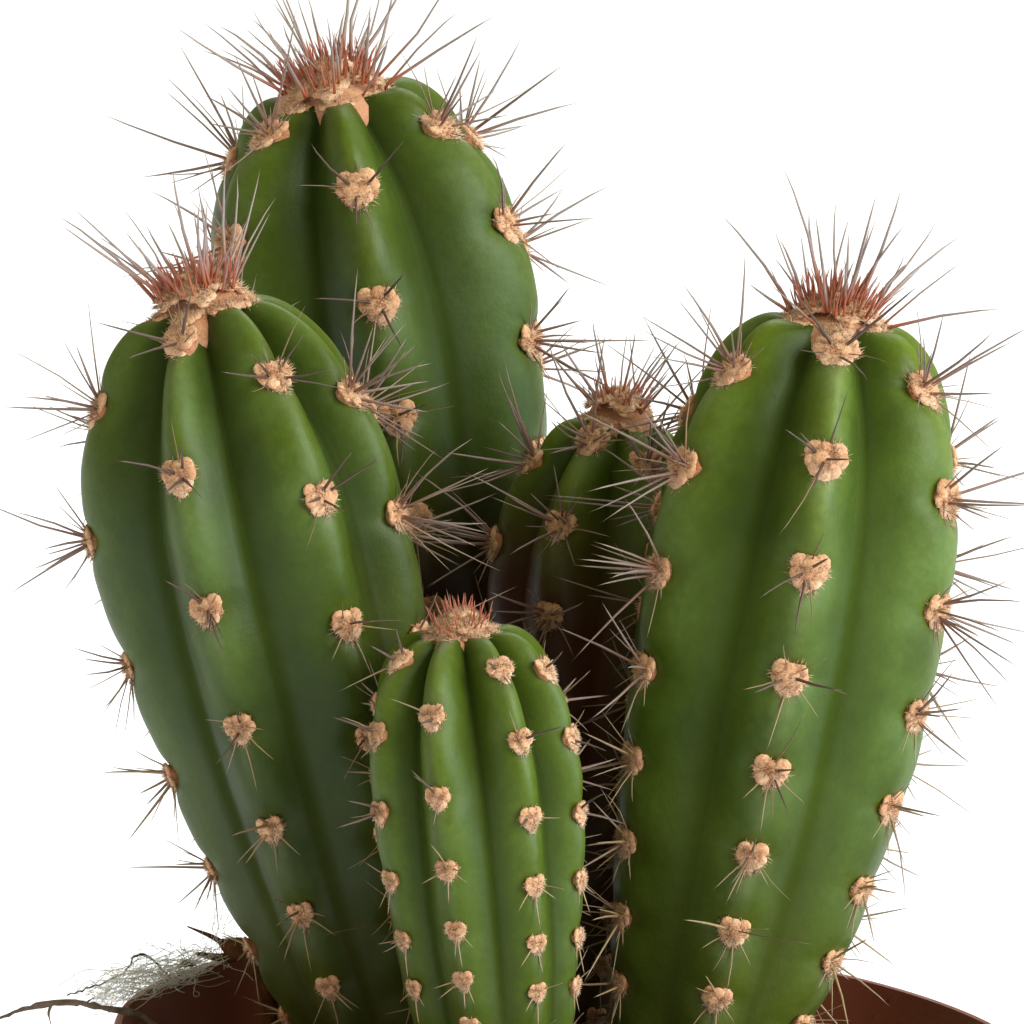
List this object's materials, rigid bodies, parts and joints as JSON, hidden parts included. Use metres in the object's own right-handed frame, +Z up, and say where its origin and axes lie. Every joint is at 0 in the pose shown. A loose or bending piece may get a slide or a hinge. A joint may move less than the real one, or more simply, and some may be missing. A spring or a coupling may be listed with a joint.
{
  "type": "potted tall cactus",
  "caption": "Clump of ribbed columnar cactus stems with felt areoles, spines and woolly tips, standing in soil in a round plastic nursery pot.",
  "frame": {"origin": "centre of the pot's flat underside, on the surface that it stands on", "axes": "+Z up along the pot's axis; -Y is the front; +X is to the right seen from the front"},
  "size_m": [0.1371, 0.1455, 0.2281],
  "materials": {
    "pot_plastic": "dark reddish-brown moulded plastic, satin",
    "potting_mix": "crumbly dark peat mix",
    "cactus_skin": "waxy green skin with a soft sheen",
    "crown_wool": "tan felt wool with red-brown young spines",
    "dry_root": "dry grey-brown root fibre"
  },
  "bodies": {
    "root": {"pot": "pot_plastic", "soil": "potting_mix", "stem_right": "cactus_skin", "stem_front_left": "cactus_skin", "stem_back_left_tall": "cactus_skin", "stem_back_centre": "cactus_skin", "stem_front_centre": "cactus_skin", "crown_right": "crown_wool", "crown_front_left": "crown_wool", "crown_back_left_tall": "crown_wool", "crown_back_centre": "crown_wool", "crown_front_centre": "crown_wool", "dry_root_strand": "dry_root"}
  },
  "joints": []
}
